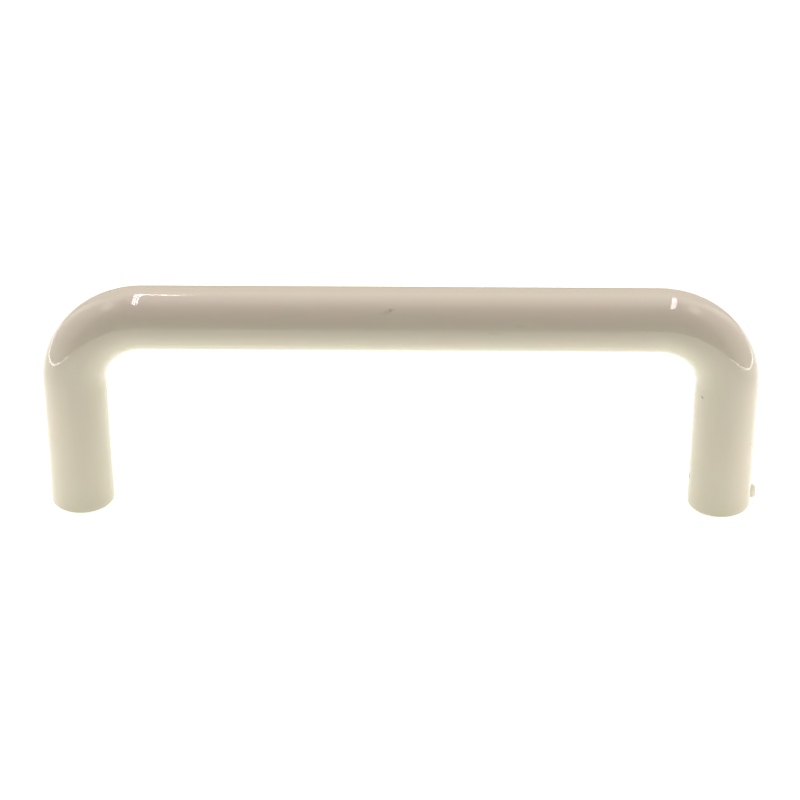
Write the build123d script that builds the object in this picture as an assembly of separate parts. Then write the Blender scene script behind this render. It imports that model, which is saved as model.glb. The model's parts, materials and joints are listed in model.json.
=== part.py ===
from build123d import *
from math import radians, tan
import os

# Wire pull for a drawer or a cabinet door, moulded in one piece with its screw holes.
# A round rod rises from one foot, bends over into a straight bar and bends down to the other foot.
# X runs along the bar, Z stands out from the drawer front and the feet end at Z = 0.
# The origin lies midway between the two screw holes.

# The bent rod, in millimetres
HOLE_CENTRES = 96.0        # from one screw hole to the other
PROJECTION = 36.0          # from the drawer front to the outside of the bar
ROD_DIAMETER = 9.5
BEND_RADIUS = 10.5         # of the rod's centreline
FOOT_EDGE_RADIUS = 0.25    # rounding of the rim on which each leg stands

# The blind screw hole in each foot, at tapping size for a No. 8 screw with 32 threads to the inch
HOLE_DIAMETER = 3.45
HOLE_DEPTH = 12.0          # at full diameter, from the foot
POINT_ANGLE = 118.0        # of the cone at the hole's blind end
MOUTH_DIAMETER = 4.4       # lead-in, a little wider than the screw
MOUTH_ANGLE = 90.0

# The trimmed stub left by the moulding gate, on the outer side of the right leg
GATE_WIDTH = 1.2           # across the leg
GATE_HEIGHT = 1.5          # up the leg
GATE_STAND = 0.7           # proud of the rod
GATE_RISE = 1.0            # from the foot to the stub's lower side
GATE_EDGE_RADIUS = 0.25

# Places that follow from the sizes above
rod_radius = ROD_DIAMETER / 2
leg_x = HOLE_CENTRES / 2
bar_z = PROJECTION - rod_radius


def bent_rod():
    """The round section carried up the left leg, along the bar and down the right leg."""
    corners = [(-leg_x, 0, 0), (-leg_x, 0, bar_z), (leg_x, 0, bar_z), (leg_x, 0, 0)]
    centreline = FilletPolyline(*corners, radius=BEND_RADIUS)
    section = Plane(origin=centreline @ 0, z_dir=centreline % 0) * Circle(rod_radius)
    rod = sweep(section, path=centreline)
    foot_rims = rod.edges().group_by(Axis.Z)[0]
    return fillet(foot_rims, FOOT_EDGE_RADIUS)


def gate_stub():
    """A short block from inside the right leg to just past its outer side, rounded at its free end."""
    to_free_end = (Align.MIN, Align.CENTER, Align.MIN)
    block = Box(rod_radius + GATE_STAND, GATE_WIDTH, GATE_HEIGHT, align=to_free_end)
    free_end = block.faces().sort_by(Axis.X)[-1]
    return Pos(leg_x, 0, GATE_RISE) * fillet(free_end.edges(), GATE_EDGE_RADIUS)


def screw_hole():
    """The space inside one foot: a chamfered mouth, the straight wall and the cone left by the drill."""
    hole_radius = HOLE_DIAMETER / 2
    mouth_radius = MOUTH_DIAMETER / 2
    mouth_depth = (mouth_radius - hole_radius) / tan(radians(MOUTH_ANGLE / 2))
    point_depth = hole_radius / tan(radians(POINT_ANGLE / 2))
    half_section = Polyline(
        (0, 0),
        (mouth_radius, 0),
        (hole_radius, mouth_depth),
        (hole_radius, HOLE_DEPTH),
        (0, HOLE_DEPTH + point_depth),
        close=True,
    )
    return revolve(Plane.XZ * make_face(half_section), Axis.Z)


pull = bent_rod() + gate_stub()
for side in (-1, 1):
    pull -= Pos(side * leg_x, 0, 0) * screw_hole()

os.makedirs("parts", exist_ok=True)
export_step(pull, "parts/pull.step")
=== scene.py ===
import json
from math import atan2, hypot, pi, radians, tan

import bmesh
import bpy
from mathutils import Matrix, Vector


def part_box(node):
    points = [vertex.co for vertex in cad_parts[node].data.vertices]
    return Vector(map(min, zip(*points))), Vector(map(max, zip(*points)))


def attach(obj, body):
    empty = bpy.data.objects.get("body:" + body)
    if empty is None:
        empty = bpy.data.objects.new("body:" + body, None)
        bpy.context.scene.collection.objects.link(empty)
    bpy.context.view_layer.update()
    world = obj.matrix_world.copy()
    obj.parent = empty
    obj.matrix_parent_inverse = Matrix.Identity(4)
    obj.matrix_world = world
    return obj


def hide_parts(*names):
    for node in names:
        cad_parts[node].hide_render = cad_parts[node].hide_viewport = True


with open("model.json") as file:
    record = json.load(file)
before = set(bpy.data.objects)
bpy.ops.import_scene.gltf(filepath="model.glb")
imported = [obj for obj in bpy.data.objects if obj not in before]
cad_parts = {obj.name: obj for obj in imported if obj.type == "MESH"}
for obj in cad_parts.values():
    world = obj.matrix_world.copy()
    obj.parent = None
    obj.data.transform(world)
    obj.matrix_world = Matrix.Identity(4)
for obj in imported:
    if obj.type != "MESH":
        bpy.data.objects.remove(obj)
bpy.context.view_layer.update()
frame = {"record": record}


# The pull: one round rod that rises from a foot, bends over into the bar and bends down to the other foot.
# It is moulded in one piece in a gloss almond plastic, with a tapped blind hole in each foot for the screw
# that comes through the drawer front. The moulding gate left a trimmed stub on the right leg.
MM = 0.001
holes = next(mount for mount in frame["record"]["mounts"] if mount["name"] == "screw_holes")
rod_low, rod_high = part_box("pull")
ROD_RADIUS = (rod_high.y - rod_low.y) / 2
LEG_X = holes["dims"]["spacing_x_mm"] / 2 * MM
BAR_Z = rod_high.z - ROD_RADIUS
BEND_RADIUS = 10.5 * MM
FOOT_EDGE_RADIUS = 0.25 * MM
SIDES = 96
BEND_STEPS = 32
RING_PITCH = 2.0 * MM
RIM_STEPS = 4
SMOOTH_ANGLE = 35
# Points closer than these count as one, or as lying in a plane
WELD = 0.002 * MM
TOUCHING = 0.0001 * MM
JUST_INSIDE = 0.99

GATE_LOW = 1.0 * MM
GATE_HIGH = 2.5 * MM
GATE_HALF_WIDTH = 0.6 * MM
GATE_EDGE_RADIUS = 0.25 * MM
GATE_STEPS = 3

HOLE_RADIUS = holes["dims"]["hole_r_mm"] * MM
HOLE_DEPTH = 12.0 * MM
POINT_ANGLE = 118
POINT_DEPTH = HOLE_RADIUS / tan(radians(POINT_ANGLE / 2))
MOUTH_RADIUS = 2.2 * MM
THREAD_PITCH = 25.4 / 32 * MM
THREAD_RADIUS = 4.166 / 2 * MM
THREAD_END = 10.8 * MM
RUN_OUT = 1.2 * MM
RINGS_PER_THREAD = 16
# Half widths of the thread's groove at its bottom and at the wall, as shares of the pitch
GROOVE_BOTTOM = 0.03
GROOVE_MOUTH = 0.33


def pick(wanted, kind="EDGE"):
    """Select only those edges or faces of the mesh in edit mode whose corners are all wanted."""
    bpy.ops.mesh.select_mode(type=kind)
    bpy.ops.mesh.select_all(action="DESELECT")
    mesh = bmesh.from_edit_mesh(bpy.context.object.data)
    parts = mesh.faces if kind == "FACE" else mesh.edges
    for part in parts:
        if all(wanted(corner.co) for corner in part.verts):
            part.select_set(True)
    bmesh.update_edit_mesh(bpy.context.object.data)


def pick_along(middle_wanted, direction):
    """Select only those edges that run along a direction and whose middle is wanted."""
    bpy.ops.mesh.select_mode(type="EDGE")
    bpy.ops.mesh.select_all(action="DESELECT")
    mesh = bmesh.from_edit_mesh(bpy.context.object.data)
    for edge in mesh.edges:
        run = edge.verts[1].co - edge.verts[0].co
        middle = (edge.verts[0].co + edge.verts[1].co) / 2
        if middle_wanted(middle) and abs(run.normalized().dot(Vector(direction))) > 0.9:
            edge.select_set(True)
    bmesh.update_edit_mesh(bpy.context.object.data)


def draw_out(x, z):
    """Extrude the selected ring along the bar and up."""
    bpy.ops.mesh.extrude_region_move(TRANSFORM_OT_translate={"value": (x, 0, z)})


def from_hole(point):
    """Distance of a point of the left foot from the middle of its screw hole, in the plan."""
    return hypot(point.x + LEG_X, point.y)


# The left half of the rod: leg, bend and half of the bar, drawn out from the circle on which the foot stands
bpy.ops.object.select_all(action="DESELECT")
bpy.ops.mesh.primitive_circle_add(vertices=SIDES, radius=ROD_RADIUS, location=(-LEG_X, 0, 0))
bpy.ops.object.transform_apply(location=True, rotation=False, scale=False)
pull = bpy.context.object
pull.name = pull.data.name = "pull_moulding"
bpy.ops.object.mode_set(mode="EDIT")
leg_top = BAR_Z - BEND_RADIUS
draw_out(0, GATE_LOW)
draw_out(0, GATE_HIGH - GATE_LOW)
draw_out(0, leg_top - GATE_HIGH)
bend_centre = (-LEG_X + BEND_RADIUS, 0, leg_top)
bpy.ops.mesh.spin(steps=BEND_STEPS, angle=-pi / 2, center=bend_centre, axis=(0, 1, 0))
draw_out(LEG_X - BEND_RADIUS, 0)
pick_along(lambda p: GATE_HIGH < p.z < leg_top, (0, 0, 1))
bpy.ops.mesh.subdivide(number_cuts=round((leg_top - GATE_HIGH) / RING_PITCH) - 1)
pick_along(lambda p: p.x > -LEG_X + BEND_RADIUS, (1, 0, 0))
bpy.ops.mesh.subdivide(number_cuts=round((LEG_X - BEND_RADIUS) / RING_PITCH) - 1)

# The foot's flat ring, then the wall of the screw hole and the cone that the drill left at its end
left_foot = (-LEG_X, 0, 0)
pick(lambda p: p.z < TOUCHING)
draw_out(0, 0)
narrow = MOUTH_RADIUS / ROD_RADIUS
bpy.ops.transform.resize(value=(narrow, narrow, 1), center_override=left_foot)
draw_out(0, HOLE_DEPTH)
narrow = HOLE_RADIUS / MOUTH_RADIUS
bpy.ops.transform.resize(value=(narrow, narrow, 1), center_override=left_foot)
draw_out(0, POINT_DEPTH)
bpy.ops.mesh.merge(type="COLLAPSE")
pick_along(lambda p: from_hole(p) < MOUTH_RADIUS and p.z < HOLE_DEPTH, (0, 0, 1))
bpy.ops.mesh.subdivide(number_cuts=round(HOLE_DEPTH / THREAD_PITCH * RINGS_PER_THREAD) - 1)


def soft_step(value, low, high):
    """Rise from 0 to 1 between two values, level at both."""
    share = min(max((value - low) / (high - low), 0), 1)
    return share * share * (3 - 2 * share)


def tapped_radius(turn, height):
    """Radius of the hole's wall: the widest of drilled wall, thread groove and cone of the mouth."""
    across = abs((height / THREAD_PITCH - turn) % 1 - 0.5)
    groove = 1 - soft_step(across, GROOVE_BOTTOM, GROOVE_MOUTH)
    reach = 1 - soft_step(height, THREAD_END - RUN_OUT, THREAD_END)
    cut = HOLE_RADIUS + (THREAD_RADIUS - HOLE_RADIUS) * groove * reach
    return max(cut, MOUTH_RADIUS - height)


mesh = bmesh.from_edit_mesh(pull.data)
for vertex in mesh.verts:
    reach = from_hole(vertex.co)
    if 0.5 * HOLE_RADIUS < reach < 1.001 * MOUTH_RADIUS and vertex.co.z < HOLE_DEPTH - TOUCHING:
        turn = atan2(vertex.co.y, vertex.co.x + LEG_X) / (2 * pi)
        widen = tapped_radius(turn, vertex.co.z) / reach
        vertex.co.x = -LEG_X + (vertex.co.x + LEG_X) * widen
        vertex.co.y = vertex.co.y * widen
bmesh.update_edit_mesh(pull.data)

# The rim of the foot is rounded, and the finished half is copied, turned half round and joined at the middle
pick(lambda p: p.z < TOUCHING and from_hole(p) > JUST_INSIDE * ROD_RADIUS)
bpy.ops.mesh.bevel(offset=FOOT_EDGE_RADIUS, segments=RIM_STEPS, affect="EDGES")
bpy.ops.mesh.select_all(action="SELECT")
bpy.ops.mesh.duplicate()
bpy.ops.transform.rotate(value=pi, orient_axis="Z", center_override=(0, 0, 0))
bpy.ops.mesh.select_all(action="SELECT")
bpy.ops.mesh.remove_doubles(threshold=WELD)

# The gate stub, drawn out from the four faces of the right leg that look outwards
leg_side = LEG_X + 0.98 * ROD_RADIUS
gate_reach = 1.1 * GATE_HALF_WIDTH
pick(lambda p: p.x > leg_side and abs(p.y) < gate_reach and 0.9 * GATE_LOW < p.z < 1.01 * GATE_HIGH, "FACE")
stub_end = rod_high.x
draw_out(stub_end - LEG_X - ROD_RADIUS, 0)
bpy.ops.transform.resize(value=(0, 1, 1), center_override=(stub_end, 0, 0))
pick(lambda p: p.x > stub_end - WELD, "FACE")
bpy.ops.mesh.dissolve_faces()
pick(lambda p: p.x > stub_end - WELD)
bpy.ops.mesh.bevel(offset=GATE_EDGE_RADIUS, segments=GATE_STEPS, affect="EDGES")
bpy.ops.mesh.select_all(action="SELECT")
bpy.ops.mesh.normals_make_consistent(inside=False)
bpy.ops.object.mode_set(mode="OBJECT")
bpy.ops.object.shade_smooth_by_angle(angle=radians(SMOOTH_ANGLE))
bpy.ops.object.mode_set(mode="EDIT")
pick(lambda p: hypot(abs(p.x) - LEG_X, p.y) < JUST_INSIDE * MOUTH_RADIUS and p.z < JUST_INSIDE * HOLE_DEPTH)
bpy.ops.mesh.mark_sharp(clear=True)
bpy.ops.object.mode_set(mode="OBJECT")


class Wire:
    """One output of a node. Sums written with it add the Math nodes that work them out."""

    def __init__(self, tree, socket=None):
        self.tree = tree
        self.socket = socket

    def node(self, kind, settings=None, inputs=None, output=0):
        """Add a node, set its settings, then give its sockets their values or links."""
        made = self.tree.nodes.new(kind)
        for name, value in (settings or {}).items():
            setattr(made, name, value)
        for name, value in (inputs or {}).items():
            if isinstance(value, Wire):
                self.tree.links.new(value.socket, made.inputs[name])
            else:
                made.inputs[name].default_value = value
        return Wire(self.tree, made.outputs[output] if made.outputs else None)

    def math(self, operation, first, second):
        return self.node("ShaderNodeMath", {"operation": operation}, {0: first, 1: second})

    def __add__(self, other):
        return self.math("ADD", self, other)

    __radd__ = __add__

    def __sub__(self, other):
        return self.math("SUBTRACT", self, other)

    def __rsub__(self, other):
        return self.math("SUBTRACT", other, self)

    def __mul__(self, other):
        return self.math("MULTIPLY", self, other)

    __rmul__ = __mul__


def blend(share, first, second):
    """Mix two colours by a share from 0 to 1."""
    return start.node("ShaderNodeMix", {"data_type": "RGBA"}, {0: share, 6: first, 7: second}, output=2)


almond = bpy.data.materials.new("almond_gloss_plastic")
almond.use_nodes = True
almond.node_tree.nodes.clear()
start = Wire(almond.node_tree)
place = start.node("ShaderNodeTexCoord", output="Object")


def cloudy(size, low, high, stretch=(1, 1, 1), detail=2.0):
    """A noise of clouds of one size, spread from 0 at one level to 1 at another."""
    drawn = start.node("ShaderNodeVectorMath", {"operation": "MULTIPLY"}, {0: place, 1: stretch})
    noise = start.node("ShaderNodeTexNoise", None, {"Vector": drawn, "Scale": 1 / size, "Detail": detail})
    return start.node("ShaderNodeMapRange", {"interpolation_type": "SMOOTHSTEP"},
                      {"Value": noise, "From Min": low, "From Max": high})


SPOT_CORE = 0.35


def spot(centre, radii):
    """1 in the core of a mark on the surface, falling to 0 at its rim. Places are in millimetres."""
    away = start.node("ShaderNodeVectorMath", {"operation": "SUBTRACT"},
                      {0: place, 1: [value * MM for value in centre]})
    share = start.node("ShaderNodeVectorMath", {"operation": "MULTIPLY"},
                       {0: away, 1: [1 / (value * MM) for value in radii]})
    length = start.node("ShaderNodeVectorMath", {"operation": "LENGTH"}, {0: share}, output="Value")
    return start.node("ShaderNodeMapRange", {"interpolation_type": "SMOOTHSTEP"},
                      {"Value": length, "From Min": 1.0, "From Max": SPOT_CORE})


ALMOND_PINK = (0.770, 0.679, 0.543, 1)
ALMOND_GREEN = (0.760, 0.687, 0.543, 1)
GRIME = (0.19, 0.13, 0.085, 1)
CLOUD_SIZE = 7 * MM
# Places of the marks in millimetres, their half sizes and how dark they are
MARKS = (
    ((-1.38, -3.37, 34.59), (0.38, 0.45, 0.30), 0.30),
    ((-1.02, -3.35, 34.61), (0.45, 0.45, 0.24), 0.10),
    ((-1.75, -3.56, 34.40), (0.80, 0.60, 0.32), 0.12),
    ((-2.35, -3.71, 34.22), (0.80, 0.50, 0.22), 0.08),
    ((13.67, -4.66, 31.59), (1.60, 0.60, 0.35), 0.05),
    ((17.23, -4.45, 32.74), (1.30, 0.60, 0.30), 0.05),
    ((44.10, -2.70, 19.96), (0.20, 0.40, 0.14), 0.45),
    ((44.23, -2.94, 19.88), (0.17, 0.40, 0.26), 0.55),
    ((43.27, -0.45, 4.80), (0.30, 0.70, 0.55), 0.95),
    ((51.79, -2.87, 11.83), (0.18, 0.40, 0.35), 0.22),
)
colour = blend(cloudy(CLOUD_SIZE, 0.35, 0.65), ALMOND_PINK, ALMOND_GREEN)
grime = None
for centre, radii, darkness in MARKS:
    mark = spot(centre, radii) * darkness
    colour = blend(mark, colour, GRIME)
    grime = mark if grime is None else grime + mark

# The trimmed gate stub is paler than the skin of the rod: partly the pale blush of the trimmed gate,
# and partly painted light, a brightening that stands in for the glow on the stub's face that lies in shade
STUB_BLUSH_AND_PAINTED_GLOW = (0.98, 0.96, 0.84, 1)
STUB_MIDDLE = (53.5, 0, 1.75)
STUB_REACH = (1.4, 1.7, 1.8)
colour = blend(spot(STUB_MIDDLE, STUB_REACH), colour, STUB_BLUSH_AND_PAINTED_GLOW)

# The gloss is dulled a little by wiped smears and by the grime, and the skin is slightly uneven
GLOSS = 0.03
SMEAR_SIZE = 9 * MM
SMEAR_DULLING = 0.05
GRIME_DULLING = 0.3
PEEL_SIZE = 1.6 * MM
PEEL_HEIGHT = 0.002 * MM
PLASTIC_IOR = 1.5
smears = cloudy(SMEAR_SIZE, 0.48, 0.72, stretch=(0.5, 1, 1))
roughness = GLOSS + SMEAR_DULLING * smears + GRIME_DULLING * grime
peel = cloudy(PEEL_SIZE, 0.2, 0.8, detail=1.0)
relief = start.node("ShaderNodeBump", None, {"Strength": 1.0, "Distance": PEEL_HEIGHT, "Height": peel})
plastic = start.node("ShaderNodeBsdfPrincipled", None,
                     {"Base Color": colour, "Roughness": roughness, "Normal": relief, "IOR": PLASTIC_IOR})
start.node("ShaderNodeOutputMaterial", None, {"Surface": plastic})
pull.data.materials.append(almond)
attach(pull, "root")
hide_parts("pull")


# The table: a sheet of white acrylic on which the pull stands, lit from below.
# It also takes the light from above and keeps the soft shadow at the feet. From below it can't be seen,
# so that the undersides of the feet can.
TABLE_SIZE = 0.9
TABLE_MIDDLE = 0.05
TABLE_GAP = 0.05 * MM
bpy.ops.object.select_all(action="DESELECT")
bpy.ops.mesh.primitive_plane_add(size=TABLE_SIZE, location=(0, TABLE_MIDDLE, -TABLE_GAP))
bpy.ops.object.transform_apply(location=True, rotation=False, scale=False)
table = bpy.context.object
table.name = "table"
acrylic = bpy.data.materials.new("lit_acrylic")
acrylic.use_nodes = True
acrylic.node_tree.nodes.clear()
start = Wire(acrylic.node_tree)
place = start.node("ShaderNodeTexCoord", output="Object")


def along(axis):
    """One of the three coordinates of a point of the stage."""
    return start.node("ShaderNodeSeparateXYZ", None, {0: place}, output=axis)


def ramp(value, low, high, kind="LINEAR"):
    """Rise from 0 to 1 between two values."""
    return start.node("ShaderNodeMapRange", {"interpolation_type": kind},
                      {"Value": value, "From Min": low, "From Max": high})


# The light from below is strongest beside the feet and at the front, and gentle under the feet.
# The pairs say where it starts to rise or fall and where it ends, in metres from the middle of the pull.
SHEET = (0.9, 0.9, 0.88, 1)
TABLE_GLOW = (0.625, 0.69, 0.625, 1)
BRIGHT_GLOW = (0.93, 0.99, 0.90, 1)
UNDER_GLOW = (0.37, 0.39, 0.42, 1)
BESIDE_RISE = (0.048, 0.066)
BESIDE_FALL = (0.080, 0.115)
FRONT_FALL = (-0.15, -0.11)
FRONT_SHARE = 0.6
FOOT_CORE = 0.95
off_middle = start.math("ABSOLUTE", along("X"), 0.0)
depth = along("Y")
beside_feet = ramp(off_middle, *BESIDE_RISE, "SMOOTHSTEP") - ramp(off_middle, *BESIDE_FALL, "SMOOTHSTEP")
in_front = 1 - ramp(depth, *FRONT_FALL, "SMOOTHSTEP")
pale = blend(beside_feet + FRONT_SHARE * in_front, TABLE_GLOW, BRIGHT_GLOW)
from_leg = off_middle - LEG_X
under_feet = 1 - ramp(from_leg * from_leg + depth * depth, (FOOT_CORE * ROD_RADIUS) ** 2, ROD_RADIUS ** 2)
pale = blend(under_feet, pale, UNDER_GLOW)
sheet = start.node("ShaderNodeBsdfDiffuse", None, {"Color": SHEET})
glow = start.node("ShaderNodeEmission", None, {"Color": pale, "Strength": 1.0})
lit = start.node("ShaderNodeAddShader", None, {0: sheet, 1: glow})
clear = start.node("ShaderNodeBsdfTransparent")
seen_from_below = start.node("ShaderNodeNewGeometry", output="Backfacing")
top_side = start.node("ShaderNodeMixShader", None, {"Fac": seen_from_below, 1: lit, 2: clear})
start.node("ShaderNodeOutputMaterial", None, {"Surface": top_side})
table.data.materials.append(acrylic)


# The tent: cloth walls and a roof stretched round the table, dark in front and flared behind.
# The camera sees through it. The pull takes its soft light from the roof and the walls, and its gloss
# mirrors the dark front and the brighter patch in each side wall.
TENT_SIDE = 0.156
TENT_FRONT = -0.17
TENT_FLARE = 0.055
TENT_BACK = 0.36
TENT_BACK_SIDE = 0.37
TENT_ROOF = 0.42
bpy.ops.object.select_all(action="DESELECT")
bpy.ops.mesh.primitive_cube_add(size=1, location=(0, (TENT_FRONT + TENT_BACK) / 2, TENT_ROOF / 2),
                                scale=(2 * TENT_SIDE, TENT_BACK - TENT_FRONT, TENT_ROOF))
bpy.ops.object.transform_apply(location=True, rotation=False, scale=True)
tent = bpy.context.object
tent.name = "tent"
bpy.ops.object.mode_set(mode="EDIT")
pick(lambda p: p.z < MM, "FACE")
bpy.ops.mesh.delete(type="FACE")
bpy.ops.mesh.select_all(action="SELECT")
bpy.ops.mesh.bisect(plane_co=(0, TENT_FLARE, 0), plane_no=(0, 1, 0))
pick(lambda p: p.y > TENT_BACK - MM)
bpy.ops.transform.resize(value=(TENT_BACK_SIDE / TENT_SIDE, 1, 1), center_override=(0, 0, 0))
bpy.ops.mesh.select_all(action="SELECT")
bpy.ops.mesh.normals_make_consistent(inside=True)
bpy.ops.object.mode_set(mode="OBJECT")
cloth = bpy.data.materials.new("tent_cloth")
cloth.use_nodes = True
cloth.node_tree.nodes.clear()
start = Wire(cloth.node_tree)
place = start.node("ShaderNodeTexCoord", output="Object")

# How brightly each cloth glows, as shares of the brightest. The pairs say where a glow starts to rise
# or fall and where it ends, in metres. The patches are given in millimetres, once for both side walls.
CLOTH_LIGHT = 2.5
ROOF_GLOW = 0.42
ROOF_RISE = (-0.165, 0.0)
SIDE_GLOW = 0.27
SIDE_RISE = (-0.11, -0.05)
SIDE_FALL = (0.26, 0.34)
PATCH_GLOW = 0.85
PATCH_MIDDLE = (0, -5, 205)
PATCH_RADII = (2000, 75, 52)
FLARE_LOW_GLOW = 0.38
FLARE_MORE_GLOW = 0.25
FLARE_RISE = (0.02, 0.13)
BACK_LOW_GLOW = 0.02
BACK_MORE_GLOW = 0.14
BACK_RISE = (0.05, 0.22)
UNLIT = (0, 0, 0, 1)
FRONT_TINT = (1, 0.97, 0.98, 1)
REAR_TINT = (0.94, 0.99, 0.985, 1)
off_middle = start.math("ABSOLUTE", along("X"), 0.0)
depth = along("Y")
height = along("Z")
roof = ramp(height, TENT_ROOF - 2 * MM, TENT_ROOF - MM)
behind = ramp(depth, TENT_BACK - 2 * MM, TENT_BACK - MM)
flare = ramp(depth, TENT_FLARE - MM, TENT_FLARE + MM)
roof_glow = ROOF_GLOW * ramp(depth, *ROOF_RISE)
side_lit = ramp(depth, *SIDE_RISE, "SMOOTHSTEP") * (1 - ramp(height, *SIDE_FALL, "SMOOTHSTEP"))
side_glow = SIDE_GLOW * side_lit + PATCH_GLOW * spot(PATCH_MIDDLE, PATCH_RADII)
flare_glow = FLARE_LOW_GLOW + FLARE_MORE_GLOW * ramp(height, *FLARE_RISE, "SMOOTHSTEP")
back_glow = BACK_LOW_GLOW + BACK_MORE_GLOW * ramp(off_middle, *BACK_RISE)
wall_glow = (1 - flare) * side_glow + flare * ((1 - behind) * flare_glow + behind * back_glow)
tint = blend(flare, FRONT_TINT, REAR_TINT)
tone = blend(roof * roof_glow + (1 - roof) * wall_glow, UNLIT, tint)
shine = start.node("ShaderNodeEmission", None, {"Color": tone, "Strength": CLOTH_LIGHT})
start.node("ShaderNodeOutputMaterial", None, {"Surface": shine})
tent.data.materials.append(cloth)
tent.visible_camera = False


# The lamps: on each side three slim tubes hang overhead and run front to back, and a short cross tube
# meets the left ones. Light also leaks in under the side walls of the tent. The gloss of the bends shows
# the tubes as fine stripes and the leaks as thin loops.
LAMP_COLOUR = (1, 0.875, 0.925)
TUBE_HEIGHT = 0.335
TUBE_MIDDLE = 0.040
TUBE_WIDTH = 0.004
TUBE_RADIANCE = 24
LEFT_TUBES = (-0.099, -0.0905, -0.082)
LEFT_LENGTH = 0.250
LEFT_TURN = -1.8
RIGHT_TUBES = (0.117, 0.1255, 0.134)
RIGHT_LENGTH = 0.270
RIGHT_TURN = -2.6
CROSS_MIDDLE = (-0.0711, 0.1478, TUBE_HEIGHT)
CROSS_SIZE = (0.008, 0.026)
CROSS_TURN = 39
CROSS_RADIANCE = 28
LEAK_HEIGHT = 0.003
LEAK_FRONT = -0.12
LEAK_RADIANCE = 7.0


def flat_lamp(name, centre, size, radiance, turn):
    """A lamp that shines down until it is turned."""
    bpy.ops.object.light_add(type="AREA", location=centre, rotation=turn)
    lamp = bpy.context.object
    lamp.name = name
    lamp.data.shape = "RECTANGLE"
    lamp.data.size, lamp.data.size_y = size
    lamp.data.energy = radiance * size[0] * size[1] * pi
    lamp.data.color = LAMP_COLOUR
    lamp.visible_camera = False


for side, tubes, length, turn in (("left", LEFT_TUBES, LEFT_LENGTH, LEFT_TURN),
                                  ("right", RIGHT_TUBES, RIGHT_LENGTH, RIGHT_TURN)):
    for number, x in enumerate(tubes):
        flat_lamp(f"{side}_tube_{number}", (x, TUBE_MIDDLE, TUBE_HEIGHT), (TUBE_WIDTH, length),
                  TUBE_RADIANCE, (0, 0, radians(turn)))
flat_lamp("cross_tube", CROSS_MIDDLE, CROSS_SIZE, CROSS_RADIANCE, (0, 0, radians(CROSS_TURN)))

flare_run = Vector((TENT_BACK_SIDE - TENT_SIDE, TENT_BACK - TENT_FLARE))
flare_turn = atan2(flare_run.x, flare_run.y)
for side in (-1, 1):
    foot = side * (TENT_SIDE - MM)
    flat_lamp("side_leak", (foot, (LEAK_FRONT + TENT_FLARE) / 2, LEAK_HEIGHT / 2),
              (LEAK_HEIGHT, TENT_FLARE - LEAK_FRONT), LEAK_RADIANCE, (0, side * pi / 2, 0))
    flat_lamp("flare_leak", (foot + side * flare_run.x / 2, TENT_FLARE + flare_run.y / 2, LEAK_HEIGHT / 2),
              (LEAK_HEIGHT, flare_run.length), LEAK_RADIANCE, (0, side * pi / 2, -side * flare_turn))


# The camera stands in front of the pull and looks down on it, as the photograph was taken.
# The room round the tent is plain white, and the tent keeps its light off the pull.
AZIMUTH = 0.8209
ELEVATION = 31.6759
ROLL = -0.0886
DISTANCE = 0.401888
AIM = Vector((-0.0716, 1.071, 16.737)) * MM
SENSOR_WIDTH = 36
LENS = 121.94
NEAREST_SEEN = 10 * MM
bpy.ops.object.camera_add()
camera = bpy.context.object
turn = (Matrix.Rotation(radians(AZIMUTH), 4, "Z") @ Matrix.Rotation(radians(90 - ELEVATION), 4, "X")
        @ Matrix.Rotation(radians(ROLL), 4, "Z"))
camera.matrix_world = Matrix.Translation(AIM + turn.to_3x3() @ Vector((0, 0, DISTANCE))) @ turn
camera.data.sensor_width = SENSOR_WIDTH
camera.data.lens = LENS
camera.data.clip_start = NEAREST_SEEN
bpy.context.scene.camera = camera

world = bpy.data.worlds.new("white_room")
world.use_nodes = True
world.node_tree.nodes["Background"].inputs["Color"].default_value = (1, 1, 1, 1)
world.node_tree.nodes["Background"].inputs["Strength"].default_value = 1.0
bpy.context.scene.world = world
bpy.context.scene.view_settings.view_transform = "Standard"
